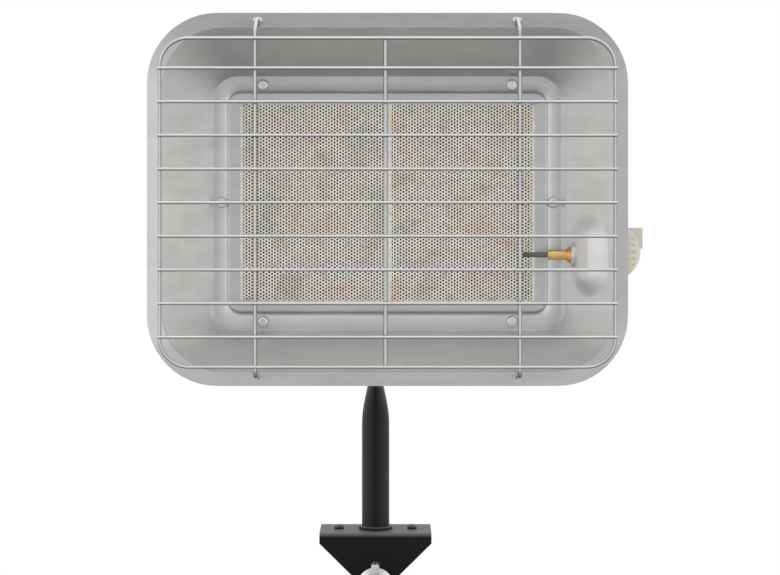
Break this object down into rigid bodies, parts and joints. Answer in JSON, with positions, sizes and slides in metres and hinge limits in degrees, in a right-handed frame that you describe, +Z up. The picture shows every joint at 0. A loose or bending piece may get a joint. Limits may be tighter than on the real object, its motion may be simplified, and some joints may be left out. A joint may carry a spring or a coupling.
{
  "type": "gas radiant heater",
  "caption": "Gas radiant heater head with ceramic tiles in a wire-guarded reflector dish, tilting on a tube with a clamp for a gas bottle collar.",
  "frame": {"origin": "on the stand tube's axis, in the underside of the foot flange, which a gas bottle's collar meets", "axes": "+X to the viewer's right, where the knob is; +Y to the back, so the tiles face -Y; +Z up along the tube"},
  "size_m": [0.3157, 0.193, 0.3877],
  "materials": {
    "black_steel": "satin black powder coat",
    "zinc_steel": "bright zinc plate",
    "dish_steel": "satin aluminised sheet",
    "box_steel": "aluminised sheet, dull",
    "tile_ceramic": "unglazed cream cordierite",
    "tile_cement": "matt refractory cement",
    "seal_fibre": "matt ceramic fibre",
    "guard_chrome": "bright plated wire",
    "valve_brass": "turned",
    "probe_steel": "dull sheath",
    "lead_copper": "drawn copper",
    "knob_plastic": "moulded cream plastic"
  },
  "bodies": {
    "stand": {"clamp_bracket": "black_steel", "foot_flange": "black_steel", "foot_screws": "black_steel", "tube_collar": "black_steel", "stand_tube": "black_steel", "clamp_weld_nut": "zinc_steel", "tilt_bolt": "zinc_steel", "tilt_washer": "zinc_steel"},
    "head": {"tilt_bracket": "black_steel", "tilt_bracket_nuts": "zinc_steel", "reflector": "dish_steel", "burner_box": "box_steel", "burner_screws": "zinc_steel", "burner_nuts": "zinc_steel", "tile_frame": "dish_steel", "tile_left": "tile_ceramic", "tile_right": "tile_ceramic", "tile_joint": "tile_cement", "tile_gasket": "seal_fibre", "tile_support": "box_steel", "baffle_plate": "box_steel", "mixing_tube": "box_steel", "mixer_gasket": "seal_fibre", "box_nuts": "zinc_steel", "valve_bracket": "zinc_steel", "valve_body": "valve_brass", "panel_nut": "valve_brass", "magnet_unit": "box_steel", "thermocouple_union": "valve_brass", "gas_inlet": "valve_brass", "injector_holder": "valve_brass", "injector": "valve_brass", "thermocouple_holder": "valve_brass", "thermocouple_nut": "valve_brass", "thermocouple_probe": "probe_steel", "thermocouple_lead": "lead_copper", "guard_ring": "guard_chrome", "guard_bars": "guard_chrome", "guard_uprights": "guard_chrome", "guard_eyelets": "zinc_steel"},
    "clamp_pad": {"clamp_pad": "zinc_steel"},
    "clamp_screw": {"clamp_stud": "zinc_steel", "clamp_wing": "zinc_steel"},
    "tilt_nut": {"tilt_wing_nut": "zinc_steel"},
    "valve_push": {"spring_cup": "zinc_steel", "valve_spring": "zinc_steel"},
    "knob": {"valve_stem": "zinc_steel", "control_knob": "knob_plastic"}
  },
  "joints": [
    {"name": "head_tilt", "type": "hinge", "parent": "stand", "child": "head", "pos_m": [0.0029, 0, 0.136], "axis": [-1, 0, 0], "range_deg": [-30, 60]},
    {"name": "tilt_nut_turn", "type": "hinge", "parent": "stand", "child": "tilt_nut", "pos_m": [-0.006, 0, 0.136], "axis": [-1, 0, 0], "range_deg": [0, 180]},
    {"name": "clamp_slide", "type": "slide", "parent": "stand", "child": "clamp_pad", "axis": [0, 1, 0], "range_m": [0, 0.012]},
    {"name": "clamp_turn", "type": "hinge", "parent": "clamp_pad", "child": "clamp_screw", "pos_m": [0, -0.02, -0.0274], "axis": [0, 1, 0], "range_deg": [0, 4320]},
    {"name": "valve_press", "type": "slide", "parent": "head", "child": "valve_push", "axis": [-1, 0, 0], "range_m": [0, 0.003], "stiffness_N_per_m": 1500, "springref_m": -0.002},
    {"name": "knob_turn", "type": "hinge", "parent": "valve_push", "child": "knob", "pos_m": [0.15, -0.04, 0.1945], "axis": [1, 0, 0], "range_deg": [0, 180]}
  ]
}
